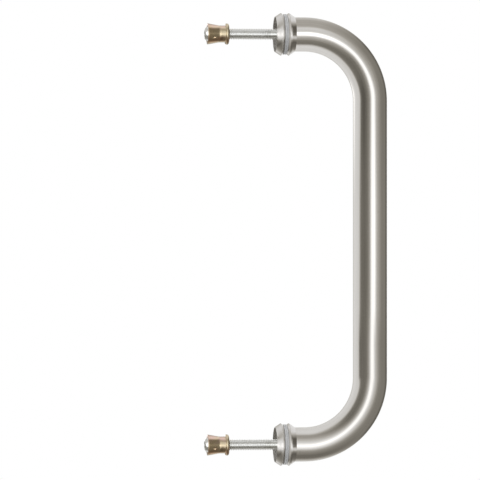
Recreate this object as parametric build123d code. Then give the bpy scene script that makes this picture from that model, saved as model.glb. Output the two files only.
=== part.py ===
from build123d import *
import math
import os

# A D-shaped tubular door pull with the fixings that clamp it through a door.
# The door plane is X = 0. The grip runs along Z on the +X side, and each bolt passes along -X
# through the door, through the far side's gasket and ring, to a conical spool under its head.
# Each far ring is open towards its spool, whose waist is narrower than its flange and its flare.
# All sizes are millimetres. The origin lies on the door plane, midway between the two bolts.

# The handle's tube, with a straight stretch between each end and its bend
BOLT_CENTRES = 300.0
TUBE_DIAMETER = 25.0
TUBE_WALL = 1.2
BEND_RADIUS = 48.5
END_STRAIGHT = 11.9

# The conical rings that cup the tube ends
RING_LENGTH = 5.85
RING_FLOOR = 1.5
RING_RISE = 2.95
RING_SHOULDER = 1.65
RING_BASE_INSET = 1.3
RING_LIP = 0.3
RING_EDGE_BREAK = 0.15
RING_TUBE_CLEARANCE = 0.3

# The soft washers on both faces of the door, a little wider than the rings' bases
GASKET_THICKNESS = 1.25
GASKET_OVERHANG = 0.45

# The threaded plugs inside the tube ends, which stop short of the bends
INSERT_SETBACK = 0.75
INSERT_BEND_MARGIN = 0.5
INSERT_CLEARANCE = 0.1
INSERT_CHAMFER = 0.8

# The bolts, with a metric coarse thread
BOLT_DIAMETER = 8.0
THREAD_PITCH = 1.25
BOLT_LENGTH = 70.0
BOLT_ENGAGEMENT = 11.5
BOLT_TIP_CHAMFER = 1.0
HEAD_DIAMETER = 12.0
HEAD_HEIGHT = 3.9
HEAD_RIM = 1.0
HEAD_FLAT_DIAMETER = 6.6
SOCKET_ACROSS_FLATS = 5.0
SOCKET_DEPTH = 2.6

# The conical spools under the bolt heads
SPOOL_LENGTH = 15.6
SPOOL_WAIST_DIAMETER = 12.3
SPOOL_WAIST_LENGTH = 4.3
SPOOL_FLANGE_RISE = 1.55
SPOOL_FLANGE_LENGTH = 2.4
SPOOL_FLANGE_RADIUS = 0.85
SPOOL_FLARE_RISE = 1.6
SPOOL_FLARE_BLEND = 14.0
SPOOL_RIM_RADIUS = 0.4
SPOOL_HEAD_RECESS = 2.0

# Clearances on diameter
THREAD_CLEARANCE = 0.1
BOLT_HOLE_CLEARANCE = 2.5
SPOOL_BORE_CLEARANCE = 0.5
HEAD_CLEARANCE = 0.5

# Places along X that follow from the stack of pieces
TUBE_END_X = GASKET_THICKNESS + RING_FLOOR
BEND_START_X = TUBE_END_X + END_STRAIGHT
GRIP_X = BEND_START_X + BEND_RADIUS
INSERT_MOUTH_X = TUBE_END_X + INSERT_SETBACK
INSERT_BACK_X = BEND_START_X - INSERT_BEND_MARGIN
BOLT_TIP_X = INSERT_MOUTH_X + BOLT_ENGAGEMENT
HEAD_SEAT_X = BOLT_TIP_X - BOLT_LENGTH
SPOOL_FACE_X = HEAD_SEAT_X - SPOOL_HEAD_RECESS + SPOOL_LENGTH

# Sizes that two pieces share
TUBE_BORE = TUBE_DIAMETER - 2 * TUBE_WALL
RECESS_DIAMETER = TUBE_DIAMETER + RING_TUBE_CLEARANCE
RING_DIAMETER = RECESS_DIAMETER + 2 * RING_RISE
RING_BASE_DIAMETER = RING_DIAMETER - 2 * RING_BASE_INSET
GASKET_DIAMETER = RING_BASE_DIAMETER + 2 * GASKET_OVERHANG
SPOOL_FLANGE_DIAMETER = SPOOL_WAIST_DIAMETER + 2 * SPOOL_FLANGE_RISE
SPOOL_FLARE_DIAMETER = SPOOL_WAIST_DIAMETER + 2 * SPOOL_FLARE_RISE
BOLT_HOLE = BOLT_DIAMETER + BOLT_HOLE_CLEARANCE
PITCH_TO_MAJOR = 0.6495
THREAD_PITCH_DIAMETER = BOLT_DIAMETER - PITCH_TO_MAJOR * THREAD_PITCH


def turned(outline):
    """A solid of revolution about the X axis from a closed outline of (x, radius) lines."""
    face = make_face(Plane.XZ * outline)
    return revolve(face, axis=Axis.X)


def edges_at(piece, x, diameter):
    """The circular edges of a turned piece at one place along X and one diameter."""
    return [
        edge
        for edge in piece.edges().filter_by(GeomType.CIRCLE)
        if math.isclose(edge.arc_center.X, x, abs_tol=1e-4)
        and math.isclose(edge.radius, diameter / 2, abs_tol=1e-4)
    ]


def grip_tube():
    """The bent tube, swept along its centre line from one open end to the other."""
    half = BOLT_CENTRES / 2
    centre_line = FilletPolyline(
        (TUBE_END_X, 0, half),
        (GRIP_X, 0, half),
        (GRIP_X, 0, -half),
        (TUBE_END_X, 0, -half),
        radius=BEND_RADIUS,
    )
    section = Circle(TUBE_DIAMETER / 2) - Circle(TUBE_BORE / 2)
    start = Plane(origin=centre_line @ 0, z_dir=centre_line % 0)
    return sweep(start * section, path=centre_line)


def tube_insert():
    """A plug that sits just inside the tube end, bored at the pitch diameter of its thread."""
    bore = (THREAD_PITCH_DIAMETER + THREAD_CLEARANCE) / 2
    outer = (TUBE_BORE - INSERT_CLEARANCE) / 2
    mouth = INSERT_MOUTH_X
    back = INSERT_BACK_X
    plug = turned(Polyline((mouth, bore), (mouth, outer), (back, outer), (back, bore), close=True))
    rims = edges_at(plug, mouth, 2 * outer) + edges_at(plug, back, 2 * outer)
    return chamfer(rims, INSERT_CHAMFER)


def gasket():
    """A flat washer, cut square at its edges, on the +X face of the door."""
    hole = BOLT_HOLE / 2
    rim = GASKET_DIAMETER / 2
    back = GASKET_THICKNESS
    return turned(Polyline((0, hole), (0, rim), (back, rim), (back, hole), close=True))


def ring():
    """A conical ring on the +X gasket, recessed for the tube end and flush with it at its lip."""
    base = GASKET_THICKNESS
    shoulder = base + RING_SHOULDER
    top = base + RING_LENGTH
    recess = RECESS_DIAMETER / 2
    outline = Polyline(
        (base, BOLT_HOLE / 2),
        (base, RING_BASE_DIAMETER / 2),
        (shoulder, RING_DIAMETER / 2),
        (top, recess + RING_LIP),
        (top, recess),
        (TUBE_END_X, recess),
        (TUBE_END_X, BOLT_HOLE / 2),
        close=True,
    )
    body = turned(outline)
    rims = edges_at(body, base, RING_BASE_DIAMETER) + edges_at(body, shoulder, RING_DIAMETER)
    return chamfer(rims, RING_EDGE_BREAK)


def bolt():
    """A domed bolt: plain neck in the spool, full thread outside it, pitch diameter in the insert."""
    neck = THREAD_PITCH_DIAMETER / 2
    thread = BOLT_DIAMETER / 2
    rim = HEAD_DIAMETER / 2
    flat = HEAD_FLAT_DIAMETER / 2
    dome = HEAD_HEIGHT - HEAD_RIM
    centre_depth = (rim**2 - flat**2 - dome**2) / (2 * dome)
    dome_radius = math.hypot(rim, centre_depth)
    rim_x = HEAD_SEAT_X - HEAD_RIM
    top_x = HEAD_SEAT_X - HEAD_HEIGHT
    outline = Polyline(
        (top_x, flat),
        (top_x, 0),
        (BOLT_TIP_X, 0),
        (BOLT_TIP_X, neck - BOLT_TIP_CHAMFER),
        (BOLT_TIP_X - BOLT_TIP_CHAMFER, neck),
        (INSERT_MOUTH_X, neck),
        (INSERT_MOUTH_X, thread),
        (SPOOL_FACE_X, thread),
        (SPOOL_FACE_X, neck),
        (HEAD_SEAT_X, neck),
        (HEAD_SEAT_X, rim),
        (rim_x, rim),
    ) + RadiusArc((rim_x, rim), (top_x, flat), -dome_radius)
    blank = turned(outline)
    hexagon = RegularPolygon(SOCKET_ACROSS_FLATS / 2, 6, major_radius=False)
    socket = extrude(Plane(origin=(top_x, 0, 0), z_dir=(1, 0, 0)) * hexagon, SOCKET_DEPTH)
    return blank - socket


def spool():
    """A turned sleeve: flange, waist and a flare that is counterbored for the bolt head."""
    face = SPOOL_FACE_X
    end = face - SPOOL_LENGTH
    flange_back = face - SPOOL_FLANGE_LENGTH
    flare_start = flange_back - SPOOL_WAIST_LENGTH
    bore = (BOLT_DIAMETER + SPOOL_BORE_CLEARANCE) / 2
    recess = (HEAD_DIAMETER + HEAD_CLEARANCE) / 2
    outline = Polyline(
        (face, bore),
        (face, SPOOL_FLANGE_DIAMETER / 2),
        (flange_back, SPOOL_FLANGE_DIAMETER / 2),
        (flange_back, SPOOL_WAIST_DIAMETER / 2),
        (flare_start, SPOOL_WAIST_DIAMETER / 2),
        (end, SPOOL_FLARE_DIAMETER / 2),
        (end, recess),
        (HEAD_SEAT_X, recess),
        (HEAD_SEAT_X, bore),
        close=True,
    )
    body = turned(outline)
    body = fillet(edges_at(body, flare_start, SPOOL_WAIST_DIAMETER), SPOOL_FLARE_BLEND)
    body = fillet(edges_at(body, end, SPOOL_FLARE_DIAMETER), SPOOL_RIM_RADIUS)
    rims = edges_at(body, face, SPOOL_FLANGE_DIAMETER) + edges_at(body, flange_back, SPOOL_FLANGE_DIAMETER)
    return fillet(rims, SPOOL_FLANGE_RADIUS)


def save(piece, name):
    piece.label = name
    export_step(piece, f"parts/{name}.step")


os.makedirs("parts", exist_ok=True)
save(grip_tube(), "grip_tube")

near_ring = ring()
near_gasket = gasket()
fixing = {
    "tube_insert": tube_insert(),
    "bolt": bolt(),
    "spool": spool(),
    "handle_ring": near_ring,
    "handle_gasket": near_gasket,
    "far_gasket": mirror(near_gasket, about=Plane.YZ),
    "far_ring": mirror(near_ring, about=Plane.YZ),
}
for level, height in (("upper", BOLT_CENTRES / 2), ("lower", -BOLT_CENTRES / 2)):
    for kind, piece in fixing.items():
        save(Pos(0, 0, height) * piece, f"{level}_{kind}")
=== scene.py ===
import math

import bmesh
import bpy
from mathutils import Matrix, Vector


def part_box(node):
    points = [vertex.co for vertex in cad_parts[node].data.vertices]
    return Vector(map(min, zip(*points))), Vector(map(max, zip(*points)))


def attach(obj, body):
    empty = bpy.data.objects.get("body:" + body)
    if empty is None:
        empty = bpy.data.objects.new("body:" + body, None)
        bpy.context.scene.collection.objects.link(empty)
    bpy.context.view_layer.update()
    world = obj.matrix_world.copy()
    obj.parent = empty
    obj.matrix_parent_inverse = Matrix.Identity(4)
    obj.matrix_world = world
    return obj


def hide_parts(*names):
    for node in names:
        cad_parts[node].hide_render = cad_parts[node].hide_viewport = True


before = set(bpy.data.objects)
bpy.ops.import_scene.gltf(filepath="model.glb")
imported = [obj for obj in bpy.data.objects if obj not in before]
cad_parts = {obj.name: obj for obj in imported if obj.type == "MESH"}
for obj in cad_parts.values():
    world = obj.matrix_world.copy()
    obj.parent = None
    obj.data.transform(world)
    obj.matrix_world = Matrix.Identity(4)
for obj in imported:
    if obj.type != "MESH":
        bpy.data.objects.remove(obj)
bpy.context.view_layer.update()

# A D-shaped tube pull with its bolt-through fixings, dressed as fine meshes.
# All sizes are metres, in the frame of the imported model: the door plane is X = 0, the grip is along Z.
MM = 0.001
OUT = Vector((1, 0, 0))
UP = Vector((0, 0, 1))
FRONT = Vector((0, -1, 0))

# The tube
tube_low, tube_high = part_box("grip_tube")
TUBE_RADIUS = (tube_high.y - tube_low.y) / 2
TUBE_WALL = 1.2 * MM
TUBE_EDGE = 0.25 * MM
TUBE_END_X = tube_low.x
GRIP_X = tube_high.x - TUBE_RADIUS
BOLT_HEIGHT = tube_high.z - TUBE_RADIUS
BEND_RADIUS = 48.5 * MM
BEND_START_X = GRIP_X - BEND_RADIUS
BEND_Z = BOLT_HEIGHT - BEND_RADIUS
LEVELS = {"upper": BOLT_HEIGHT, "lower": -BOLT_HEIGHT}

# The softening of plain turned edges, on the rings and the spools alike
SMALL_EDGE = 0.2 * MM

# The rings and gaskets on the handle's side of the door; the far side's are their mirror images
ring_low, ring_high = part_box("upper_handle_ring")
gasket_low, gasket_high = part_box("upper_handle_gasket")
RING_BASE_X = ring_low.x
RING_LIP_X = ring_high.x
RING_BEVEL_LENGTH = 1.65 * MM
RING_SHOULDER_X = RING_BASE_X + RING_BEVEL_LENGTH
RING_BASE_RADIUS = 14.3 * MM
RING_RADIUS = 15.6 * MM
RECESS_RADIUS = 12.65 * MM
LIP_WIDTH = 0.3 * MM
LIP_RADIUS = RECESS_RADIUS + LIP_WIDTH
LIP_OUTER_EDGE = 0.1 * MM
LIP_INNER_EDGE = 0.08 * MM
SHOULDER_EDGE = 0.35 * MM
BOLT_HOLE_RADIUS = 5.25 * MM
GASKET_RADIUS = (gasket_high.y - gasket_low.y) / 2
GASKET_EDGE = 0.3 * MM

# The spools
spool_low, spool_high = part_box("upper_spool")
SPOOL_FACE_X = spool_high.x
SPOOL_END_X = spool_low.x
FLANGE_THICKNESS = 2.4 * MM
FLANGE_BACK_X = SPOOL_FACE_X - FLANGE_THICKNESS
WAIST_LENGTH = 4.3 * MM
FLARE_START_X = FLANGE_BACK_X - WAIST_LENGTH
FLANGE_RADIUS = 7.7 * MM
WAIST_RADIUS = 6.15 * MM
FLARE_RADIUS = 7.75 * MM
HEAD_RECESS_RADIUS = 6.25 * MM
SPOOL_BORE_RADIUS = 4.25 * MM
SPOOL_BORE_EDGE = 0.25 * MM
FLANGE_BEAD = 0.85 * MM
WAIST_FILLET = 0.4 * MM
FLARE_BLEND = 14.0 * MM
FLARE_RIM = 0.4 * MM
FLARE_SUPPORT = 0.7 * MM

# The bolts
bolt_low, bolt_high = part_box("upper_bolt")
HEAD_TOP_X = bolt_low.x
BOLT_TIP_X = bolt_high.x
DOME_HEIGHT = 2.9 * MM
HEAD_RIM_X = HEAD_TOP_X + DOME_HEIGHT
HEAD_SIDE = 1.0 * MM
HEAD_SEAT_X = HEAD_RIM_X + HEAD_SIDE
HEAD_RADIUS = 6.0 * MM
HEAD_FLAT_RADIUS = 3.3 * MM
HEAD_EDGE = 0.2 * MM
SOCKET_APOTHEM = 2.5 * MM
SOCKET_LEAD_RADIUS = 3.0 * MM
SOCKET_LEAD = 0.25 * MM
SOCKET_DEPTH = 2.6 * MM
INSERT_MOUTH_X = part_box("upper_tube_insert")[0].x
TIP_CHAMFER = 1.0 * MM

# The metric thread. The shares are of its pitch, and the neck has the pitch diameter.
THREAD_RADIUS = 4.0 * MM
THREAD_PITCH = 1.25 * MM
HALF_CREST_SHARE = 1 / 16
FLANK_SHARE = 5 / 16
GROOVE_SHARE = 0.6134
PITCH_DIAMETER_SHARE = 0.6495
THREAD_DEPTH = GROOVE_SHARE * THREAD_PITCH
NECK_RADIUS = THREAD_RADIUS - PITCH_DIAMETER_SHARE * THREAD_PITCH / 2

# Fineness of the meshes
TUBE_SEGMENTS = 112
TURNED_SEGMENTS = 144
BOLT_SEGMENTS = 72
STEPS_PER_PITCH = 14
ARC_STEPS = 6
DOME_STEPS = 16
BEND_STEPS = 56
GRIP_STEPS = 24
END_STEPS = 6
SHARP_ANGLE = math.radians(40)
UV_NAME = "surface"


# Meshes

def rounded(outline):
    """A closed outline of (x, radius) points with its corners turned into arcs.
    Each entry of the outline is (x, radius, corner radius)."""
    points = []
    count = len(outline)
    for i, (x, r, corner) in enumerate(outline):
        here = Vector((x, r))
        before = Vector(outline[i - 1][:2]) - here
        after = Vector(outline[(i + 1) % count][:2]) - here
        if corner <= 0:
            points.append(here)
            continue
        half = before.angle(after) / 2
        reach = corner / math.tan(half)
        start = here + before.normalized() * reach
        end = here + after.normalized() * reach
        middle = (before.normalized() + after.normalized()).normalized()
        centre = here + middle * corner / math.sin(half)
        a, b = start - centre, end - centre
        turn = a.angle(b)
        for step in range(ARC_STEPS + 1):
            t = step / ARC_STEPS
            point = (a * math.sin((1 - t) * turn) + b * math.sin(t * turn)) / math.sin(turn)
            points.append(centre + point)
    return points


def skin(bm, rings, around, along, closed):
    """Quads between neighbouring rings of vertices, with a surface map in metres."""
    uv = bm.loops.layers.uv.verify()
    count = len(rings[0])
    pairs = list(zip(range(len(rings) - 1), range(1, len(rings))))
    if closed:
        pairs.append((len(rings) - 1, 0))
    for i, j in pairs:
        for k in range(count):
            n = (k + 1) % count
            face = bm.faces.new((rings[i][k], rings[i][n], rings[j][n], rings[j][k]))
            far = along[j] if j else along[-1] + (along[1] - along[0])
            corners = ((k, along[i]), (k + 1, along[i]), (k + 1, far), (k, far))
            for loop, (turn, run) in zip(face.loops, corners):
                loop[uv].uv = (around * turn / count, run)


def cap(bm, ring, place):
    """A fan of triangles from a ring to one point."""
    tip = bm.verts.new(place)
    for k in range(len(ring)):
        bm.faces.new((ring[k], ring[(k + 1) % len(ring)], tip))


def run_lengths(points):
    """The distance along a row of points, at each point."""
    lengths = [0.0]
    for a, b in zip(points, points[1:]):
        lengths.append(lengths[-1] + (Vector(b) - Vector(a)).length)
    return lengths


def piece(name, bm, node, material):
    """Turns a mesh in the making into a piece that stands for a CAD node."""
    bmesh.ops.recalc_face_normals(bm, faces=bm.faces)
    for face in bm.faces:
        face.smooth = True
    for edge in bm.edges:
        edge.smooth = len(edge.link_faces) != 2 or edge.calc_face_angle() < SHARP_ANGLE
    mesh = bpy.data.meshes.new(name)
    bm.to_mesh(mesh)
    bm.free()
    if mesh.uv_layers:
        mesh.uv_layers[0].name = UV_NAME
    made = bpy.data.objects.new(name, mesh)
    bpy.context.scene.collection.objects.link(made)
    mesh.materials.append(material)
    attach(made, "root")
    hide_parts(node)


def turned(outline, height, side=1):
    """A turned mesh about the line along X at one height. Side -1 mirrors it in the door plane."""
    bm = bmesh.new()
    points = rounded(outline)
    rings = []
    for x, r in points:
        ring = []
        for k in range(TURNED_SEGMENTS):
            a = 2 * math.pi * k / TURNED_SEGMENTS
            ring.append(bm.verts.new((side * x, r * math.cos(a), height + r * math.sin(a))))
        rings.append(ring)
    widest = max(r for _, r in points)
    skin(bm, rings, 2 * math.pi * widest, run_lengths(points), closed=True)
    return bm


def centre_line(start_x, end_steps, bend_steps, grip_steps):
    """The tube's centre line from the upper end to the lower one, as (place, outward) pairs."""
    line = []
    for step in range(end_steps):
        x = start_x + (BEND_START_X - start_x) * step / end_steps
        line.append((Vector((x, 0, BOLT_HEIGHT)), UP))
    for step in range(bend_steps + 1):
        a = math.pi / 2 * (1 - step / bend_steps)
        outward = Vector((math.cos(a), 0, math.sin(a)))
        line.append((Vector((BEND_START_X, 0, BEND_Z)) + BEND_RADIUS * outward, outward))
    for step in range(1, grip_steps):
        z = BEND_Z * (1 - 2 * step / grip_steps)
        line.append((Vector((GRIP_X, 0, z)), OUT))
    lower = []
    for place, outward in line[: end_steps + bend_steps + 1]:
        lower.append((Vector((place.x, 0, -place.z)), Vector((outward.x, 0, -outward.z))))
    return line + lower[::-1]


def tube():
    """The bent tube: an outer and an inner skin that meet at its two open ends."""
    bm = bmesh.new()
    line = centre_line(TUBE_END_X, END_STEPS, BEND_STEPS, GRIP_STEPS)

    def circle(place, outward, radius):
        ring = []
        for k in range(TUBE_SEGMENTS):
            a = 2 * math.pi * k / TUBE_SEGMENTS
            offset = -FRONT * math.cos(a) + outward * math.sin(a)
            ring.append(bm.verts.new(place + radius * offset))
        return ring

    first, last = line[0], line[-1]
    inset = TUBE_EDGE * OUT
    middle = TUBE_RADIUS - TUBE_WALL / 2
    outer = [(first[0], first[1], TUBE_RADIUS - TUBE_EDGE), (first[0] + inset, first[1], TUBE_RADIUS)]
    outer += [(place, outward, TUBE_RADIUS) for place, outward in line[1:-1]]
    outer += [(last[0] + inset, last[1], TUBE_RADIUS), (last[0], last[1], TUBE_RADIUS - TUBE_EDGE)]
    inner = [(place, outward, TUBE_RADIUS - TUBE_WALL) for place, outward in line[::-1]]
    stations = outer + [(last[0], last[1], middle)] + inner + [(first[0], first[1], middle)]
    rings = [circle(*station) for station in stations]
    runs = run_lengths([place for place, _, _ in stations])
    skin(bm, rings, 2 * math.pi * TUBE_RADIUS, runs, closed=True)
    return bm


def ring_outline():
    """A conical ring's section, with softened corners."""
    return [
        (RING_BASE_X, BOLT_HOLE_RADIUS, SMALL_EDGE),
        (RING_BASE_X, RING_BASE_RADIUS, SMALL_EDGE),
        (RING_SHOULDER_X, RING_RADIUS, SHOULDER_EDGE),
        (RING_LIP_X, LIP_RADIUS, LIP_OUTER_EDGE),
        (RING_LIP_X, RECESS_RADIUS, LIP_INNER_EDGE),
        (TUBE_END_X, RECESS_RADIUS, SMALL_EDGE),
        (TUBE_END_X, BOLT_HOLE_RADIUS, SMALL_EDGE),
    ]


def gasket_outline():
    """A flat soft washer's section."""
    thickness = gasket_high.x
    return [
        (0, BOLT_HOLE_RADIUS, GASKET_EDGE / 2),
        (0, GASKET_RADIUS, GASKET_EDGE),
        (thickness, GASKET_RADIUS, GASKET_EDGE),
        (thickness, BOLT_HOLE_RADIUS, GASKET_EDGE / 2),
    ]


def spool_outline():
    """A spool's section: beaded flange, waist, and a flare that is counterbored for the bolt head.
    A point on the flare just before its rim keeps the shading straight up to there."""
    fall = (FLARE_RADIUS - WAIST_RADIUS) / (FLARE_START_X - SPOOL_END_X)
    return [
        (SPOOL_FACE_X, SPOOL_BORE_RADIUS, SPOOL_BORE_EDGE),
        (SPOOL_FACE_X, FLANGE_RADIUS, FLANGE_BEAD),
        (FLANGE_BACK_X, FLANGE_RADIUS, FLANGE_BEAD),
        (FLANGE_BACK_X, WAIST_RADIUS, WAIST_FILLET),
        (FLARE_START_X, WAIST_RADIUS, FLARE_BLEND),
        (SPOOL_END_X + FLARE_SUPPORT, FLARE_RADIUS - fall * FLARE_SUPPORT, 0),
        (SPOOL_END_X, FLARE_RADIUS, FLARE_RIM),
        (SPOOL_END_X, HEAD_RECESS_RADIUS, SMALL_EDGE),
        (HEAD_SEAT_X, HEAD_RECESS_RADIUS, SMALL_EDGE),
        (HEAD_SEAT_X, SPOOL_BORE_RADIUS, SMALL_EDGE),
    ]


def socket_radius(angle):
    """The hexagon's radius at an angle about the bolt."""
    sector = math.pi / 3
    return SOCKET_APOTHEM / math.cos((angle % sector) - sector / 2)


def thread_radius(x, angle):
    """A right-hand metric thread: flat crest, straight flanks, flat root."""
    phase = (x / THREAD_PITCH - angle / (2 * math.pi)) % 1
    from_crest = min(phase, 1 - phase)
    fall = min(max((from_crest - HALF_CREST_SHARE) / FLANK_SHARE, 0), 1)
    return THREAD_RADIUS - THREAD_DEPTH * fall


def head_stations():
    """A bolt's head as (x, radius) stations: hex socket, dome, rim and seat."""
    depth = (HEAD_RADIUS**2 - HEAD_FLAT_RADIUS**2 - DOME_HEIGHT**2) / (2 * DOME_HEIGHT)
    dome_radius = math.hypot(HEAD_RADIUS, depth)
    dome_start = math.asin(HEAD_FLAT_RADIUS / dome_radius)
    dome_end = math.acos(depth / dome_radius)
    stations = [
        (HEAD_TOP_X + SOCKET_DEPTH, socket_radius),
        (HEAD_TOP_X + SOCKET_LEAD, socket_radius),
        (HEAD_TOP_X, SOCKET_LEAD_RADIUS),
    ]
    for step in range(DOME_STEPS + 1):
        t = dome_start + (dome_end - dome_start) * step / DOME_STEPS
        stations.append((HEAD_RIM_X + depth - dome_radius * math.cos(t), dome_radius * math.sin(t)))
    return stations + [
        (HEAD_SEAT_X - HEAD_EDGE, HEAD_RADIUS),
        (HEAD_SEAT_X, HEAD_RADIUS - HEAD_EDGE),
        (HEAD_SEAT_X, NECK_RADIUS),
    ]


def shank_stations():
    """A bolt past its head as (x, radius) stations: neck, helical thread, and a chamfered tip."""
    stations = [(SPOOL_FACE_X, NECK_RADIUS)]
    steps = round((INSERT_MOUTH_X - SPOOL_FACE_X) / THREAD_PITCH * STEPS_PER_PITCH)
    for step in range(steps + 1):
        x = SPOOL_FACE_X + (INSERT_MOUTH_X - SPOOL_FACE_X) * step / steps
        stations.append((x, lambda angle, x=x: thread_radius(x, angle)))
    return stations + [
        (INSERT_MOUTH_X, NECK_RADIUS),
        (BOLT_TIP_X - TIP_CHAMFER, NECK_RADIUS),
        (BOLT_TIP_X, NECK_RADIUS - TIP_CHAMFER),
    ]


def bolt(height):
    """A domed bolt along X at one height. A station's radius is a number or a function of the angle."""
    bm = bmesh.new()
    stations = head_stations() + shank_stations()
    rings = []
    for x, radius in stations:
        ring = []
        for k in range(BOLT_SEGMENTS):
            a = 2 * math.pi * k / BOLT_SEGMENTS
            r = radius(a) if callable(radius) else radius
            ring.append(bm.verts.new((x, r * math.cos(a), height + r * math.sin(a))))
        rings.append(ring)
    runs = run_lengths([(x, 0, 0) for x, _ in stations])
    skin(bm, rings, 2 * math.pi * THREAD_RADIUS, runs, closed=False)
    cap(bm, rings[0], (HEAD_TOP_X + SOCKET_DEPTH, 0, height))
    cap(bm, rings[-1], (BOLT_TIP_X, 0, height))
    return bm


# Materials

# Sockets of the Mix node when it mixes colours
MIX_FACTOR = 0
MIX_FIRST = 6
MIX_SECOND = 7
MIX_RESULT = 2


def new_material(name):
    """A material with one Principled shader, returned with its tree and that shader."""
    material = bpy.data.materials.new(name)
    material.use_nodes = True
    tree = material.node_tree
    return material, tree, tree.nodes["Principled BSDF"]


def add(tree, kind, inputs=None, **settings):
    """A node with its settings, and with its inputs set to values or joined to sockets."""
    node = tree.nodes.new(kind)
    for key, value in settings.items():
        setattr(node, key, value)
    for key, value in (inputs or {}).items():
        if isinstance(value, bpy.types.NodeSocket):
            tree.links.new(value, node.inputs[key])
        else:
            node.inputs[key].default_value = value
    return node


def surface_noise(tree, cell_around, cell_along, detail=3.0, roughness=0.55):
    """Noise on the surface map, with cells of the given size in metres."""
    uv = add(tree, "ShaderNodeUVMap", uv_map=UV_NAME)
    scale = (1 / cell_around, 1 / cell_along, 1)
    mapped = add(tree, "ShaderNodeMapping", {"Vector": uv.outputs["UV"], "Scale": scale})
    noise = add(
        tree,
        "ShaderNodeTexNoise",
        {"Vector": mapped.outputs["Vector"], "Scale": 1.0, "Detail": detail, "Roughness": roughness},
    )
    return noise.outputs["Fac"]


def space_noise(tree, cell, detail=3.0):
    """Noise in the object's own space, with cells of the given size in metres."""
    place = add(tree, "ShaderNodeTexCoord")
    noise = add(
        tree,
        "ShaderNodeTexNoise",
        {"Vector": place.outputs["Object"], "Scale": 1 / cell, "Detail": detail},
    )
    return noise.outputs["Fac"]


def spread(tree, value, low, high, start=0.3, end=0.7):
    """A number stretched from one range, by default the noise's usual one, to another."""
    node = add(
        tree,
        "ShaderNodeMapRange",
        {"Value": value, "From Min": start, "From Max": end, "To Min": low, "To Max": high},
    )
    return node.outputs["Result"]


def mixed(tree, factor, first, second):
    """A colour between two colours or colour sockets."""
    ends = [end if isinstance(end, bpy.types.NodeSocket) else (*end, 1.0) for end in (first, second)]
    inputs = {MIX_FACTOR: factor, MIX_FIRST: ends[0], MIX_SECOND: ends[1]}
    return add(tree, "ShaderNodeMix", inputs, data_type="RGBA").outputs[MIX_RESULT]


def number(tree, operation, *values):
    """A number worked out from values or sockets."""
    return add(tree, "ShaderNodeMath", dict(enumerate(values)), operation=operation).outputs[0]


def bump(tree, height, strength, distance):
    """A normal from a height."""
    node = add(tree, "ShaderNodeBump", {"Height": height, "Strength": strength, "Distance": distance})
    return node.outputs["Normal"]


def join(tree, shader, colour, roughness, normal=None, metallic=1.0):
    """Joins a colour, a roughness and, where there is one, a normal to a shader."""
    tree.links.new(colour, shader.inputs["Base Color"])
    tree.links.new(roughness, shader.inputs["Roughness"])
    if normal is not None:
        tree.links.new(normal, shader.inputs["Normal"])
    shader.inputs["Metallic"].default_value = metallic


def satin_tube():
    """Stainless tube, ground along its length: fine long streaks over faint broad ones."""
    material, tree, shader = new_material("satin_tube")
    dark = (0.575, 0.558, 0.533)
    pale = (0.675, 0.660, 0.638)
    streak = (0.545, 0.528, 0.500)
    haze = (0.690, 0.675, 0.655)
    fine = surface_noise(tree, cell_around=0.22 * MM, cell_along=45 * MM, detail=4.0)
    broad = surface_noise(tree, cell_around=1.6 * MM, cell_along=160 * MM, detail=2.0)
    cloud = space_noise(tree, cell=30 * MM)
    ground = mixed(tree, spread(tree, fine, low=0.0, high=1.0), dark, pale)
    streaked = mixed(tree, spread(tree, broad, low=0.0, high=0.30), ground, streak)
    colour = mixed(tree, spread(tree, cloud, low=0.0, high=0.18), streaked, haze)
    roughness = spread(tree, fine, low=0.16, high=0.25)
    normal = bump(tree, fine, strength=0.10, distance=0.02 * MM)
    join(tree, shader, colour, roughness, normal)
    return material


def recess_mask(tree):
    """1 inside a ring's recess and 0 on its outside, by the distance from the bolt's line."""
    place = add(tree, "ShaderNodeTexCoord")
    split = add(tree, "ShaderNodeSeparateXYZ", {"Vector": place.outputs["Object"]})
    rise = number(tree, "SUBTRACT", number(tree, "ABSOLUTE", split.outputs["Z"]), BOLT_HEIGHT)
    across = add(tree, "ShaderNodeCombineXYZ", {"X": split.outputs["Y"], "Y": rise})
    radius = add(tree, "ShaderNodeVectorMath", {0: across.outputs[0]}, operation="LENGTH")
    mid_lip = (RECESS_RADIUS + LIP_RADIUS) / 2
    return spread(tree, radius.outputs["Value"], low=1.0, high=0.0, start=RECESS_RADIUS, end=mid_lip)


def turned_ring():
    """Turned and polished stainless: fine lines round the axis, a few faint smears, darker and duller
    inside the recess.
    """
    material, tree, shader = new_material("turned_ring")
    dark = (0.585, 0.570, 0.552)
    pale = (0.690, 0.677, 0.662)
    smeared = (0.560, 0.540, 0.515)
    hollow = (0.500, 0.487, 0.466)
    hollow_dullness = 0.3
    lines = surface_noise(tree, cell_around=30 * MM, cell_along=0.07 * MM, detail=3.0)
    smear = space_noise(tree, cell=6 * MM)
    inside = recess_mask(tree)
    plain = mixed(tree, spread(tree, lines, low=0.0, high=1.0), dark, pale)
    worn = mixed(tree, spread(tree, smear, low=0.0, high=0.25), plain, smeared)
    colour = mixed(tree, inside, worn, hollow)
    polish = spread(tree, lines, low=0.13, high=0.22)
    roughness = number(tree, "MULTIPLY_ADD", inside, hollow_dullness, polish)
    normal = bump(tree, lines, strength=0.08, distance=0.01 * MM)
    join(tree, shader, colour, roughness, normal)
    return material


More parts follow.
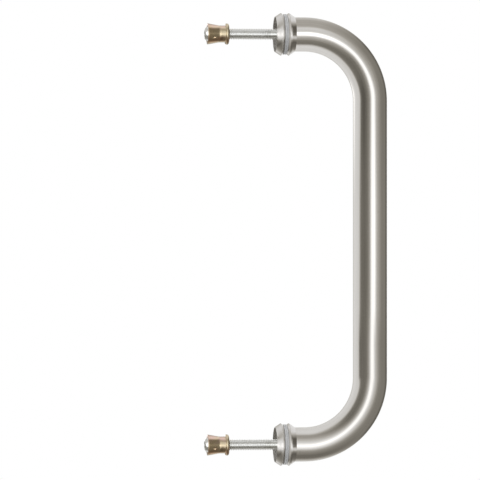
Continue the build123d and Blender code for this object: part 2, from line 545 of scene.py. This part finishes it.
def bright_zinc():
    """Bright zinc plate on a rolled thread: cool, slightly mottled."""
    material, tree, shader = new_material("bright_zinc")
    dark = (0.690, 0.695, 0.690)
    pale = (0.800, 0.805, 0.800)
    warm = (0.700, 0.700, 0.660)
    mottle = space_noise(tree, cell=1.2 * MM)
    drift = space_noise(tree, cell=9 * MM)
    plate = mixed(tree, spread(tree, mottle, low=0.0, high=1.0), dark, pale)
    colour = mixed(tree, spread(tree, drift, low=0.0, high=0.3), plate, warm)
    roughness = spread(tree, mottle, low=0.17, high=0.28)
    normal = bump(tree, mottle, strength=0.06, distance=0.01 * MM)
    join(tree, shader, colour, roughness, normal)
    return material


def yellow_passivate():
    """Yellow passivated zinc: bronze at the flare, pale gold at the flange, with olive specks.
    A rosy top is painted light, a brownish underside painted shade, and a creamy bottom-most line a
    painted reflection."""
    material, tree, shader = new_material("yellow_passivate")
    bronze = (0.58, 0.45, 0.29)
    pale_gold = (0.62, 0.54, 0.40)
    # The next three colours are painted light: a rosy top, a brownish underside where shade falls, and a
    # creamy bottom-most line that is a painted reflection.
    painted_rose_light = (0.66, 0.47, 0.43)
    painted_brown_shade = (0.56, 0.33, 0.22)
    painted_cream_reflection = (0.60, 0.52, 0.38)
    olive = (0.40, 0.37, 0.20)

    place = add(tree, "ShaderNodeTexCoord")
    split = add(tree, "ShaderNodeSeparateXYZ", {"Vector": place.outputs["Object"]})
    along = spread(tree, split.outputs["X"], low=0.0, high=1.0, start=SPOOL_END_X, end=SPOOL_FACE_X)
    uv = add(tree, "ShaderNodeUVMap", uv_map=UV_NAME)
    around = add(tree, "ShaderNodeSeparateXYZ", {"Vector": uv.outputs["UV"]})
    # rise is the height round the spool; drift adds random patches to it and sets where the painted
    # light and painted shade fall.
    rise = number(tree, "SINE", number(tree, "DIVIDE", around.outputs["X"], FLARE_RADIUS))
    patch = spread(tree, space_noise(tree, cell=3.2 * MM, detail=2.0), low=-0.4, high=0.4)
    drift = number(tree, "ADD", rise, patch)
    speck = space_noise(tree, cell=0.7 * MM)

    # Painted light on top, painted shade underneath and a painted reflection along the bottom-most line,
    # each masked by height.
    painted_light_above = spread(tree, drift, low=0.0, high=0.9, start=0.3, end=1.0)
    off_flange = spread(tree, along, low=1.0, high=0.15, start=0.78, end=0.86)
    painted_shade_below = spread(tree, drift, low=0.85, high=0.0, start=-0.9, end=-0.2)
    painted_reflection_lowest = spread(tree, rise, low=1.0, high=0.0, start=-0.96, end=-0.78)
    gold = mixed(tree, along, bronze, pale_gold)
    with_painted_light = mixed(tree, number(tree, "MULTIPLY", painted_light_above, off_flange), gold, painted_rose_light)
    with_painted_shade = mixed(tree, painted_shade_below, with_painted_light, painted_brown_shade)
    with_painted_reflection = mixed(tree, painted_reflection_lowest, with_painted_shade, painted_cream_reflection)
    colour = mixed(tree, spread(tree, speck, low=0.0, high=0.3), with_painted_reflection, olive)
    roughness = spread(tree, speck, low=0.10, high=0.20)
    normal = bump(tree, speck, strength=0.05, distance=0.02 * MM)
    join(tree, shader, colour, roughness, normal)
    return material


def clear_pvc():
    """Soft clear plastic, a little cloudy. Its grey base colour is partly a painted reflection of the
    steel beside it.
    """
    material, tree, shader = new_material("clear_pvc")
    # The grey is partly painted, standing in for the steel seen beside and through the plastic.
    dark = (0.52, 0.525, 0.53)
    pale = (0.61, 0.615, 0.62)
    cloud = space_noise(tree, cell=4 * MM)
    grain = space_noise(tree, cell=0.8 * MM)
    colour = mixed(tree, spread(tree, cloud, low=0.0, high=1.0), dark, pale)
    roughness = spread(tree, grain, low=0.22, high=0.38)
    normal = bump(tree, grain, strength=0.04, distance=0.02 * MM)
    join(tree, shader, colour, roughness, normal, metallic=0.0)
    shader.inputs["Transmission Weight"].default_value = 0.12
    shader.inputs["IOR"].default_value = 1.53
    return material


def insert_steel():
    """Plain turned steel for the plugs inside the tube ends."""
    material, tree, shader = new_material("insert_steel")
    dark = (0.44, 0.44, 0.44)
    pale = (0.56, 0.56, 0.55)
    mottle = space_noise(tree, cell=2 * MM)
    colour = mixed(tree, spread(tree, mottle, low=0.0, high=1.0), dark, pale)
    roughness = spread(tree, mottle, low=0.30, high=0.45)
    join(tree, shader, colour, roughness)
    return material


def dress():
    """Every visible piece, and the plain finish of the plugs that stay as they are."""
    tube_steel = satin_tube()
    ring_steel = turned_ring()
    zinc = bright_zinc()
    gold = yellow_passivate()
    clear = clear_pvc()
    plain = insert_steel()
    piece("bent_tube", tube(), "grip_tube", tube_steel)
    for level, height in LEVELS.items():
        for side_name, side in (("handle", 1), ("far", -1)):
            ring = f"{level}_{side_name}_ring"
            ring_mesh = turned(ring_outline(), height, side)
            piece(f"{ring}_turned", ring_mesh, ring, ring_steel)
            gasket = f"{level}_{side_name}_gasket"
            gasket_mesh = turned(gasket_outline(), height, side)
            piece(f"{gasket}_soft", gasket_mesh, gasket, clear)
        spool = f"{level}_spool"
        piece(f"{spool}_plated", turned(spool_outline(), height), spool, gold)
        piece(f"{level}_bolt_threaded", bolt(height), f"{level}_bolt", zinc)
        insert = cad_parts[f"{level}_tube_insert"]
        insert.data.materials.clear()
        insert.data.materials.append(plain)


# Studio

# The floor turns into the white of the studio between the two distances of FLOOR_FADE
FLOOR_Z = -0.26
FLOOR_HALF = 2.0
FLOOR_FADE = (0.45, 1.2)
FLOOR_SHADE = 0.92
WORLD_FILL = 0.55

# The lamps
LAMP_SIZE = 0.9
KEY_PLACE = (-0.7, -1.1, 1.1)
KEY_POWER = 9.0
FILL_PLACE = (1.0, -0.9, 0.5)
FILL_POWER = 4.0

# Cards that only glossy reflections see. A sleeve runs along the tube and one along each fixing.
# Flat cards stand at the rings, flares and flanges, with a small bright one for a glint on the flare.
# A half-round card reaches into each far ring's mouth, and a round one stands beyond each bolt head.
# Dim light on them is a little warm.
CARD_STEP_DEGREES = 2.5
CARD_END_STEPS = 3
CARD_BEND_STEPS = 24
CARD_GRIP_STEPS = 8
CARD_GAP = 0.3 * MM
ALL_ROUND = (-180.0, 180.0)
FRONT_HALF = (-90.0, 90.0)
WARM_SHADE = Vector((1.08, 1.0, 0.84))
WHITE = Vector((1.0, 1.0, 1.0))

# The sleeves
TUBE_CARD_RADIUS = 25 * MM
TUBE_CARDS_X = RING_LIP_X + CARD_GAP
FIXING_CARD_RADIUS = 45 * MM
FIXING_CARDS_X = -90 * MM

# The cards at the rings
RING_CARD_GAP = 0.2 * MM
RING_CARD_X = RING_LIP_X + RING_CARD_GAP
RING_CARD_RADIUS = 24 * MM
RING_CARD_ANGLES = (-110.0, 110.0)
CREST_RADIUS = 16.5 * MM
UNDER_CREST_RADIUS = 15.9 * MM
BEVEL_CARDS_X = RING_SHOULDER_X + CARD_GAP
BEVEL_CARD_CLEARANCE = 0.05 * MM
BEVEL_CARD_RADII = (RING_RADIUS + BEVEL_CARD_CLEARANCE, 19 * MM)

# The cards at the spools
FLARE_CARD_X = -47 * MM
FLARE_CARD_RADII = (32 * MM, 10.2 * MM)
FLANGE_CARD_GAP = 0.5 * MM
FLANGE_CARD_X = SPOOL_FACE_X + FLANGE_CARD_GAP
FLANGE_CARD_RADII = (20 * MM, BOLT_HOLE_RADIUS)
GLINT_GAP = 0.2 * MM
GLINT_X = FLARE_CARD_X - GLINT_GAP
GLINT_RADII = (17.9 * MM, 15.5 * MM)
GLINT_ANGLES = (-45.0, -34.0)

# The cards at the bolts: the one in the far ring's mouth, with its light squeezed together, and the
# one beyond the head, which is a bright spot in a dim field
SOCKET_CARD_RADIUS = 6.5 * MM
SOCKET_CARD_OVERHANG = 2.0 * MM
SOCKET_CARD_SQUEEZE = 0.74
DOME_SPOT = Vector((0, -16 * MM, 3 * MM))
DOME_SPOT_RADII = (1.0 * MM, 12.5 * MM)
DOME_SPOT_LEVEL = 1.8
DOME_FIELD_RADII = (17.5 * MM, 60 * MM)

# Light on the cards, as (angle, level) knots.
# Angles are degrees from the front towards the tube's outer side, or upwards at the fixings.
UPPER_END_LIGHT = (
    (-72, 1.06), (-64, 0.95), (-55, 0.25), (-36, 0.27), (-17, 0.65), (-10, 0.95), (-6, 2.2), (7, 2.2),
    (10, 1.2), (13, 0.85), (20, 0.9), (25, 1.05), (31, 1.02), (40, 0.56), (80, 0.57), (112, 0.78),
)
BEND_LIGHT = (
    (-110, 1.04), (-68, 0.92), (-58, 0.24), (-36, 0.2), (-20, 0.25), (-9, 0.45), (-4, 0.8), (0, 1.7),
    (10, 1.8), (14, 1.1), (20, 0.72), (34, 0.5), (58, 0.3), (85, 0.3), (98, 0.18), (118, 0.12),
)
TOP_LIGHT = (
    (-126, 1.9), (-118, 1.7), (-108, 1.25), (-98, 1.02), (-72, 0.95), (-64, 0.85), (-57, 0.2),
    (-46, 0.13), (-36, 0.13), (-24, 0.22), (-11, 0.4), (-4, 0.75), (0, 1.7), (13, 1.8), (17, 1.1),
    (23, 0.68), (36, 0.45), (56, 0.27), (85, 0.28), (98, 0.17), (118, 0.12),
)
GRIP_LIGHT = (
    (-110, 1.04), (-70, 0.95), (-59, 0.24), (-36, 0.2), (-22, 0.24), (-11, 0.45), (-6, 0.75), (-2, 1.7),
    (15, 1.9), (19, 1.2), (25, 0.75), (37, 0.5), (58, 0.3), (85, 0.31), (98, 0.18), (118, 0.12),
)
LOWER_GRIP_LIGHT = (
    (-110, 1.04), (-75, 0.93), (-66, 0.2), (-40, 0.2), (-26, 0.24), (-17, 0.42), (-11, 0.72),
    (-7, 1.05), (-3, 1.7), (8, 1.7), (12, 1.2), (18, 0.82), (27, 0.6), (35, 0.42), (45, 0.31),
    (58, 0.29), (85, 0.28), (98, 0.17), (118, 0.12),
)
LOWER_BEND_LIGHT = (
    (-110, 1.04), (-68, 0.92), (-58, 0.24), (-40, 0.2), (-29, 0.25), (-21, 0.42), (-14, 0.72),
    (-9, 1.05), (-5, 1.7), (5, 1.7), (9, 1.2), (15, 0.87), (25, 0.66), (31, 0.42), (41, 0.31),
    (58, 0.29), (85, 0.28), (98, 0.17), (118, 0.12),
)
LOWER_END_LIGHT = (
    (-64, 1.04), (-58, 0.85), (-49, 0.46), (-38, 0.46), (-26, 0.66), (-10, 1.03), (-2, 1.5), (2, 2.1),
    (8, 1.8), (18, 1.15), (24, 0.82), (34, 0.4), (60, 0.21), (78, 0.21), (88, 0.35), (110, 0.78),
)
FIXING_LIGHT = (
    (-125, 0.95), (-112, 0.55), (-95, 0.33), (-80, 0.26), (-60, 0.26), (-48, 0.4), (-36, 0.6),
    (-24, 0.85), (-16, 1.6), (-10, 2.1), (8, 2.1), (14, 1.2), (22, 0.85), (34, 0.78), (48, 0.68),
    (60, 0.62), (70, 0.72), (85, 0.9), (110, 1.0),
)
CONE_LIGHT = (
    (-120, 0.7), (-100, 0.45), (-84, 0.29), (-60, 0.24), (-48, 0.34), (-40, 0.6), (-32, 1.05),
    (-10, 1.5), (8, 1.2), (26, 1.1), (36, 0.88), (46, 0.5), (55, 0.47), (66, 0.85), (76, 1.0),
)
RING_LIGHT = (
    (-90, 1.0), (-75, 0.75), (-62, 0.32), (-50, 0.2), (-30, 0.15), (-22, 0.32), (-14, 0.95), (-10, 0.8),
    (-5, 0.28), (6, 0.15), (23, 0.14), (32, 0.4), (42, 0.76), (51, 1.04),
)
CREST_LIGHT = (
    (-100, 1.0), (-86, 0.65), (-72, 0.25), (-52, 0.15), (-32, 0.17), (-24, 0.4), (-14, 1.1), (-6, 1.3),
    (0, 1.0), (8, 0.6), (18, 0.42), (25, 0.2), (32, 0.35), (42, 0.76), (51, 1.04),
)
NEAR_BEVEL_LIGHT = (
    (-75, 0.25), (-45, 0.45), (-28, 0.6), (-10, 0.8), (12, 0.8), (30, 0.75), (50, 0.65), (90, 0.8),
)
FAR_BEVEL_LIGHT = (
    (-28, 0.18), (-18, 0.45), (-8, 0.8), (8, 0.85), (20, 0.5), (50, 0.5), (90, 0.8),
)
FLARE_LIGHT = (
    (-108, 0.9), (-92, 0.4), (-76, 0.17), (-16, 0.26), (4, 0.4), (16, 0.28), (50, 0.26), (59, 0.4),
    (70, 0.9), (83, 1.25),
)
WAIST_LIGHT = (
    (-126, 1.1), (-114, 0.5), (-101, 0.2), (-86, 0.12), (-56, 0.12), (-42, 0.15), (-30, 0.22),
    (-21, 0.55), (-12, 1.3), (-3, 1.7), (6, 1.4), (18, 0.95), (37, 0.82), (48, 0.67), (59, 0.57),
    (72, 0.8), (86, 1.1), (109, 1.2),
)
BEAD_LIGHT = (
    (-126, 0.4), (-118, 0.13), (-57, 0.13), (-46, 0.35), (-35, 0.9), (-22, 2.0), (3, 2.0), (22, 1.6),
    (35, 1.2), (48, 0.7), (63, 0.6), (79, 0.8), (94, 1.05),
)
FLANGE_LIGHT = ((-120, 0.3), (45, 0.25), (70, 0.7), (90, 0.95))
GLINT_LIGHT = ((0, 2.4),)
DOME_LIGHT = ((-110, 0.3), (-40, 0.36), (0, 0.55), (50, 0.65))
BACK_LIGHT = (
    (128, 0.8), (150, 0.5), (163, 0.7), (168, 1.6), (177, 1.6), (182, 0.35), (205, 0.4), (232, 0.9),
)

# Shares of the rows of the tube's sleeve, from the upper end, with the light round the tube there
TUBE_LIGHT = (
    (0.0, UPPER_END_LIGHT), (0.10, UPPER_END_LIGHT), (0.26, BEND_LIGHT), (0.32, BEND_LIGHT),
    (0.39, TOP_LIGHT), (0.44, TOP_LIGHT), (0.48, GRIP_LIGHT), (0.53, GRIP_LIGHT),
    (0.545, LOWER_GRIP_LIGHT), (0.565, LOWER_GRIP_LIGHT), (0.585, LOWER_BEND_LIGHT),
    (0.74, LOWER_BEND_LIGHT), (0.90, LOWER_END_LIGHT), (1.0, LOWER_END_LIGHT),
)

# Places along a fixing, with the light round it there
FIXING_SLEEVE = (
    (FIXING_CARDS_X, FIXING_LIGHT), (-64 * MM, FIXING_LIGHT), (-60 * MM, CONE_LIGHT),
    (-45 * MM, CONE_LIGHT), (-42 * MM, WAIST_LIGHT), (-40 * MM, WAIST_LIGHT), (-38.5 * MM, BEAD_LIGHT),
    (-37 * MM, BEAD_LIGHT), (-36.5 * MM, FIXING_LIGHT), (TUBE_CARDS_X, FIXING_LIGHT),
)

# Radii of the card behind a handle ring, with the light round it there
RING_CARD = (
    (RING_CARD_RADIUS, CREST_LIGHT), (CREST_RADIUS, CREST_LIGHT),
    (UNDER_CREST_RADIUS, RING_LIGHT), (TUBE_RADIUS, RING_LIGHT),
)


def level_on(knots, angle):
    """The level on a row of (angle, level) knots, in straight lines between them."""
    if angle <= knots[0][0]:
        return knots[0][1]
    for (a, low), (b, high) in zip(knots, knots[1:]):
        if angle <= b:
            return low + (high - low) * (angle - a) / (b - a)
    return knots[-1][1]


def level_round(knots, angle):
    """The level at an angle from -180 to 180, with the knots in front and the same light behind."""
    behind = tuple((back - 360, level) for back, level in BACK_LIGHT)
    return level_on(behind + knots + BACK_LIGHT, angle)


def tube_level(share, angle):
    """The level at a share of the sleeve's rows: the ends' light turns into the grip's in the bends."""
    for (a, first), (b, second) in zip(TUBE_LIGHT, TUBE_LIGHT[1:]):
        if share <= b:
            mix = (share - a) / (b - a)
            return (1 - mix) * level_round(first, angle) + mix * level_round(second, angle)


def card_material():
    """A material that shines on one side only, at the level painted on the card."""
    material = bpy.data.materials.new("studio_card")
    material.use_nodes = True
    tree = material.node_tree
    tree.nodes.clear()
    level = add(tree, "ShaderNodeAttribute", attribute_name="glow")
    shine = add(tree, "ShaderNodeEmission", {"Color": level.outputs["Color"], "Strength": 1.0})
    clear = add(tree, "ShaderNodeBsdfTransparent")
    side = add(tree, "ShaderNodeNewGeometry")
    mix = {0: side.outputs["Backfacing"], 1: shine.outputs[0], 2: clear.outputs[0]}
    both = add(tree, "ShaderNodeMixShader", mix)
    add(tree, "ShaderNodeOutputMaterial", {"Surface": both.outputs[0]})
    return material


def cards(name, stations, level_at, material, angles=ALL_ROUND):
    """Cards round a line, between two angles, lit on the side that faces the line.
    A station is (place, outward, radius), and level_at(i, angle) gives the light at station i.
    Where only the radius changes the card is flat: it is lit towards the bolt heads if the radii
    shrink, and towards the grip if they grow."""
    verts, faces, glow = [], [], []
    first, last = angles
    steps = round((last - first) / CARD_STEP_DEGREES)
    for i, (place, outward, radius) in enumerate(stations):
        for k in range(steps + 1):
            angle = first + (last - first) * k / steps
            turn = math.radians(angle)
            verts.append(place + radius * (FRONT * math.cos(turn) + outward * math.sin(turn)))
            level = level_at(i, angle)
            glow.append((*(level * WARM_SHADE.lerp(WHITE, min(level, 1.0))), 1.0))
    row = steps + 1
    for i in range(len(stations) - 1):
        for k in range(steps):
            a = i * row + k
            faces.append((a, a + 1, a + row + 1, a + row))
    mesh = bpy.data.meshes.new(name)
    mesh.from_pydata(verts, [], faces)
    painted = mesh.color_attributes.new("glow", "FLOAT_COLOR", "POINT")
    for i, colour in enumerate(glow):
        painted.data[i].color = colour
    mesh.materials.append(material)
    made = bpy.data.objects.new(name, mesh)
    bpy.context.scene.collection.objects.link(made)
    for ray in ("camera", "diffuse", "transmission", "volume_scatter", "shadow"):
        setattr(made, f"visible_{ray}", False)


def tube_cards(material):
    """A sleeve along the whole tube."""
    line = centre_line(TUBE_CARDS_X, CARD_END_STEPS, CARD_BEND_STEPS, CARD_GRIP_STEPS)
    stations = [(place, outward, TUBE_CARD_RADIUS) for place, outward in line]
    end = len(stations) - 1
    cards("tube_cards", stations, lambda i, angle: tube_level(i / end, angle), material)


def about_bolt(height, places):
    """Stations about a bolt's line, from (x, radius) pairs."""
    return [(Vector((x, 0, height)), UP, radius) for x, radius in places]


def flat_card(name, height, x, radii, knots, material, angles=ALL_ROUND):
    """A flat card across a bolt's line, with the same light at all of its radii."""
    stations = about_bolt(height, [(x, radius) for radius in radii])
    cards(name, stations, lambda i, angle: level_on(knots, angle), material, angles)


def ring_cards(level, height, material):
    """Flat cards behind the lip of the handle's ring and at the shoulders of both rings.
    The near bevel's card stands at the far ring, on the spool's side, and the far bevel's at the
    handle's ring. Each of the two is lit towards the other ring."""
    lip = about_bolt(height, [(RING_CARD_X, radius) for radius, _ in RING_CARD])

    def lip_level(i, angle):
        return level_on(RING_CARD[i][1], angle)

    cards(f"{level}_ring_card", lip, lip_level, material, RING_CARD_ANGLES)
    growing = BEVEL_CARD_RADII
    shrinking = BEVEL_CARD_RADII[::-1]
    flat_card(f"{level}_near_bevel_card", height, -BEVEL_CARDS_X, growing, NEAR_BEVEL_LIGHT, material)
    flat_card(f"{level}_far_bevel_card", height, BEVEL_CARDS_X, shrinking, FAR_BEVEL_LIGHT, material)


def spool_cards(level, height, material):
    """Flat cards at a spool's flare and flange, and the small bright one for the flare's glint."""
    flare = about_bolt(height, [(FLARE_CARD_X, radius) for radius in FLARE_CARD_RADII])
    cards(f"{level}_flare_card", flare, lambda i, angle: level_round(FLARE_LIGHT, angle), material)
    flat_card(f"{level}_flange_card", height, FLANGE_CARD_X, FLANGE_CARD_RADII, FLANGE_LIGHT, material)
    flat_card(f"{level}_glint_card", height, GLINT_X, GLINT_RADII, GLINT_LIGHT, material, GLINT_ANGLES)


def bolt_cards(level, height, material):
    """A half-round card in the far ring's mouth, and a round one beyond the bolt head."""
    mouth_x = -RING_LIP_X - SOCKET_CARD_OVERHANG
    socket = about_bolt(height, [(x, SOCKET_CARD_RADIUS) for x in (mouth_x, -TUBE_END_X)])

    def socket_level(i, angle):
        return level_on(FIXING_LIGHT, angle / SOCKET_CARD_SQUEEZE)

    cards(f"{level}_socket_card", socket, socket_level, material, FRONT_HALF)
    spot = Vector((FIXING_CARDS_X, 0, height)) + DOME_SPOT
    dome = [(spot, UP, radius) for radius in DOME_SPOT_RADII + DOME_FIELD_RADII]

    def dome_level(i, angle):
        return DOME_SPOT_LEVEL if i < len(DOME_SPOT_RADII) else level_on(DOME_LIGHT, angle)

    cards(f"{level}_dome_card", dome, dome_level, material)


def fixing_cards(level, height, material):
    """The sleeve along one fixing, and the cards at its rings, spool and bolt."""
    sleeve = about_bolt(height, [(x, FIXING_CARD_RADIUS) for x, _ in FIXING_SLEEVE])

    def sleeve_level(i, angle):
        return level_round(FIXING_SLEEVE[i][1], angle)

    cards(f"{level}_fixing_cards", sleeve, sleeve_level, material)
    ring_cards(level, height, material)
    spool_cards(level, height, material)
    bolt_cards(level, height, material)


def all_cards():
    """The cards round the tube and both fixings."""
    material = card_material()
    tube_cards(material)
    for level, height in LEVELS.items():
        fixing_cards(level, height, material)


def background(tree, fill, strength_socket):
    """White for what the camera, gloss and clear plastic see, and a softer fill for the rest."""
    path = add(tree, "ShaderNodeLightPath")
    direct = number(tree, "MAXIMUM", path.outputs["Is Camera Ray"], path.outputs["Is Glossy Ray"])
    seen = number(tree, "MAXIMUM", direct, path.outputs["Is Transmission Ray"])
    level = add(tree, "ShaderNodeMapRange", {"Value": seen, "To Min": fill, "To Max": 1.0})
    tree.links.new(level.outputs["Result"], strength_socket)


def studio_world():
    """A plain white studio."""
    world = bpy.data.worlds.new("studio")
    bpy.context.scene.world = world
    world.use_nodes = True
    back = world.node_tree.nodes["Background"]
    back.inputs["Color"].default_value = (1.0, 1.0, 1.0, 1.0)
    background(world.node_tree, WORLD_FILL, back.inputs["Strength"])


def studio_floor():
    """A pale floor that fades into the white of the studio."""
    mesh = bpy.data.meshes.new("floor")
    corners = [(-1, -1), (1, -1), (1, 1), (-1, 1)]
    verts = [(FLOOR_HALF * x, FLOOR_HALF * y, FLOOR_Z) for x, y in corners]
    mesh.from_pydata(verts, [], [(0, 1, 2, 3)])
    floor = bpy.data.objects.new("floor", mesh)
    bpy.context.scene.collection.objects.link(floor)
    material = bpy.data.materials.new("floor")
    material.use_nodes = True
    tree = material.node_tree
    tree.nodes.clear()
    place = add(tree, "ShaderNodeTexCoord")
    reach = add(tree, "ShaderNodeVectorMath", {0: place.outputs["Object"]}, operation="LENGTH")
    fade = add(
        tree,
        "ShaderNodeMapRange",
        {"Value": reach.outputs["Value"], "From Min": FLOOR_FADE[0], "From Max": FLOOR_FADE[1]},
        interpolation_type="SMOOTHSTEP",
    )
    matt = add(tree, "ShaderNodeBsdfDiffuse", {"Color": (FLOOR_SHADE, FLOOR_SHADE, FLOOR_SHADE, 1.0)})
    lift = add(tree, "ShaderNodeEmission")
    background(tree, 0.0, lift.inputs["Strength"])
    mix = {0: fade.outputs["Result"], 1: matt.outputs[0], 2: lift.outputs[0]}
    both = add(tree, "ShaderNodeMixShader", mix)
    add(tree, "ShaderNodeOutputMaterial", {"Surface": both.outputs[0]})
    mesh.materials.append(material)


def lamp(name, place, power):
    """A soft square lamp that faces the handle and is kept out of mirror reflections."""
    data = bpy.data.lights.new(name, "AREA")
    data.size = LAMP_SIZE
    data.energy = power
    made = bpy.data.objects.new(name, data)
    bpy.context.scene.collection.objects.link(made)
    made.location = place
    made.rotation_euler = (-Vector(place)).to_track_quat("-Z", "Y").to_euler()
    made.visible_camera = False
    made.visible_glossy = False


def studio():
    """Cards, world, floor and lamps."""
    all_cards()
    studio_world()
    studio_floor()
    lamp("key", KEY_PLACE, KEY_POWER)
    lamp("fill", FILL_PLACE, FILL_POWER)


# Camera: a long lens, a little to the bolts' side, level with the middle of the grip
VIEW_WIDTH = 350.6 * MM
VIEW_DISTANCE = 3.0
VIEW_LIMIT = 20.0
SENSOR_MM = 36.0
VIEW_YAW = math.radians(7.2)
AIM = Vector((-32.9 * MM, 0, -0.41 * MM))


def camera():
    """A camera at the photo's place, with the photo's width of view."""
    data = bpy.data.cameras.new("camera")
    data.sensor_width = SENSOR_MM
    data.lens = data.sensor_width * VIEW_DISTANCE / VIEW_WIDTH
    data.clip_end = VIEW_LIMIT
    made = bpy.data.objects.new("camera", data)
    bpy.context.scene.collection.objects.link(made)
    made.location = AIM + VIEW_DISTANCE * Vector((-math.sin(VIEW_YAW), -math.cos(VIEW_YAW), 0))
    made.rotation_euler = (math.pi / 2, 0, -VIEW_YAW)
    bpy.context.scene.camera = made


dress()
studio()
camera()
bpy.context.scene.view_settings.view_transform = "Standard"
